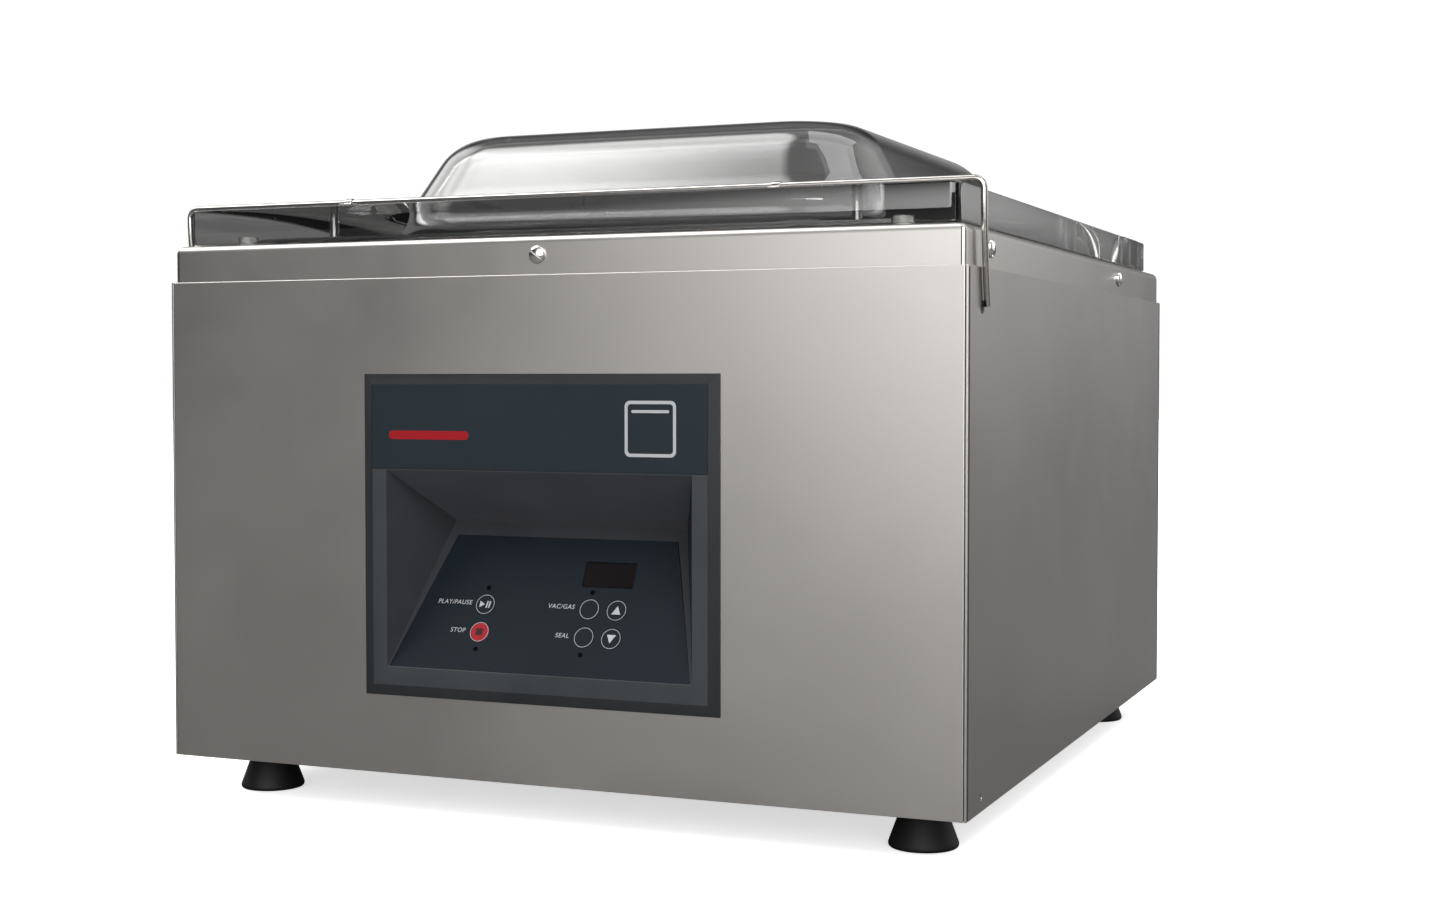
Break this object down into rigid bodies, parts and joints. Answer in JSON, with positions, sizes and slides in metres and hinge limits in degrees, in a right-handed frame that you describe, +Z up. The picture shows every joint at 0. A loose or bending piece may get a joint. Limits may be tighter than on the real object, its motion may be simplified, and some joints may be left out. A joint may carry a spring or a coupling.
{
  "type": "vacuum chamber sealer",
  "caption": "Table-top vacuum chamber sealer: stainless casing, clear domed hinged lid, recessed sloping keypad, lifting seal bar and pump inside.",
  "frame": {"origin": "centre of the footprint on the table the feet stand on", "axes": "+Z up, the console faces -Y, the lid hinges along X at the +Y edge"},
  "size_m": [0.5588, 0.6048, 0.4537],
  "materials": {
    "stainless": "brushed",
    "tub_steel": "satin polished",
    "screw_steel": "polished",
    "spring_wire": "polished",
    "aluminium": "satin",
    "clear_acrylic": "polished, clear",
    "foot_rubber": "matt",
    "gasket_rubber": "matt",
    "hose_rubber": "matt",
    "silicone": "matt silicone",
    "pad_plastic": "matt",
    "bezel_plastic": "fine texture",
    "label_film": "satin film",
    "key_film": "satin film",
    "stop_film": "satin film",
    "display_plastic": "dark tinted window",
    "board": "solder mask",
    "pump_paint": "semi-gloss paint",
    "filter_paint": "semi-gloss paint",
    "valve_brass": "machined",
    "transformer_iron": "lacquered laminations",
    "fan_plastic": "matt",
    "inlet_plastic": "matt",
    "switch_red": "gloss",
    "tape": "coated glass-cloth tape"
  },
  "bodies": {
    "casing": {"base_pan": "stainless", "foot_front_left": "foot_rubber", "foot_front_right": "foot_rubber", "foot_rear_left": "foot_rubber", "foot_rear_right": "foot_rubber", "front_panel": "stainless", "side_panel_left": "stainless", "side_panel_right": "stainless", "rear_panel": "stainless", "top_plate": "stainless", "chamber_tub": "tub_steel", "skirt_screw_front": "screw_steel", "skirt_screw_left_front": "screw_steel", "skirt_screw_left_rear": "screw_steel", "skirt_screw_right_front": "screw_steel", "skirt_screw_right_rear": "screw_steel", "control_bezel": "bezel_plastic", "nameplate": "label_film", "membrane_panel": "label_film", "display_window": "display_plastic", "control_board": "board", "vacuum_pump": "pump_paint", "pump_motor": "pump_paint", "exhaust_filter": "filter_paint", "solenoid_valve": "valve_brass", "vacuum_hose": "hose_rubber", "transformer": "transformer_iron", "lift_cylinder_left": "aluminium", "lift_cylinder_right": "aluminium", "mains_inlet": "inlet_plastic", "hinge_block_left": "aluminium", "hinge_block_right": "aluminium", "hinge_shaft": "screw_steel"},
    "lid": {"lid_dome": "clear_acrylic", "lid_gasket": "gasket_rubber", "lid_pad_front_left": "pad_plastic", "lid_pad_front_right": "pad_plastic", "lid_pad_rear_left": "pad_plastic", "lid_pad_rear_right": "pad_plastic", "counter_bar": "aluminium", "counter_silicone": "silicone", "bar_screw_left": "screw_steel", "bar_screw_right": "screw_steel", "hinge_arm_left": "aluminium", "hinge_arm_right": "aluminium", "wire_clip_left": "aluminium", "wire_clip_right": "aluminium"},
    "wire": {"lid_wire": "spring_wire"},
    "bar": {"seal_bar": "aluminium", "seal_element": "tape", "lift_rod_left": "screw_steel", "lift_rod_right": "screw_steel"},
    "fan": {"cooling_fan": "fan_plastic"},
    "switch": {"power_switch": "switch_red"},
    "key_start_cap": {"key_start": "key_film"},
    "key_stop_cap": {"key_stop": "stop_film"},
    "key_gas_cap": {"key_gas": "key_film"},
    "key_seal_cap": {"key_seal": "key_film"},
    "key_up_cap": {"key_up": "key_film"},
    "key_down_cap": {"key_down": "key_film"}
  },
  "joints": [
    {"name": "lid_hinge", "type": "hinge", "parent": "casing", "child": "lid", "pos_m": [0, 0.287, 0.387], "axis": [-1, 0, 0], "range_deg": [0, 60]},
    {"name": "wire_swing", "type": "hinge", "parent": "lid", "child": "wire", "pos_m": [0, -0.275, 0.3966], "axis": [-1, 0, 0], "range_deg": [0, 75]},
    {"name": "seal_bar_lift", "type": "slide", "parent": "casing", "child": "bar", "axis": [0, 0, 1], "range_m": [0, 0.006]},
    {"name": "fan_spin", "type": "hinge", "parent": "casing", "child": "fan", "pos_m": [0.153, 0.025, 0.124], "axis": [1, 0, 0], "continuous": true},
    {"name": "switch_rock", "type": "hinge", "parent": "casing", "child": "switch", "pos_m": [-0.154, 0.2945, 0.095], "axis": [1, 0, 0], "range_deg": [-12, 0]},
    {"name": "key_start_press", "type": "slide", "parent": "casing", "child": "key_start_cap", "axis": [0, 0.8927, -0.4507], "range_m": [0, 0.0006], "stiffness_N_per_m": 600},
    {"name": "key_stop_press", "type": "slide", "parent": "casing", "child": "key_stop_cap", "axis": [0, 0.8927, -0.4507], "range_m": [0, 0.0006], "stiffness_N_per_m": 600},
    {"name": "key_gas_press", "type": "slide", "parent": "casing", "child": "key_gas_cap", "axis": [0, 0.8927, -0.4507], "range_m": [0, 0.0006], "stiffness_N_per_m": 600},
    {"name": "key_seal_press", "type": "slide", "parent": "casing", "child": "key_seal_cap", "axis": [0, 0.8927, -0.4507], "range_m": [0, 0.0006], "stiffness_N_per_m": 600},
    {"name": "key_up_press", "type": "slide", "parent": "casing", "child": "key_up_cap", "axis": [0, 0.8927, -0.4507], "range_m": [0, 0.0006], "stiffness_N_per_m": 600},
    {"name": "key_down_press", "type": "slide", "parent": "casing", "child": "key_down_cap", "axis": [0, 0.8927, -0.4507], "range_m": [0, 0.0006], "stiffness_N_per_m": 600}
  ]
}
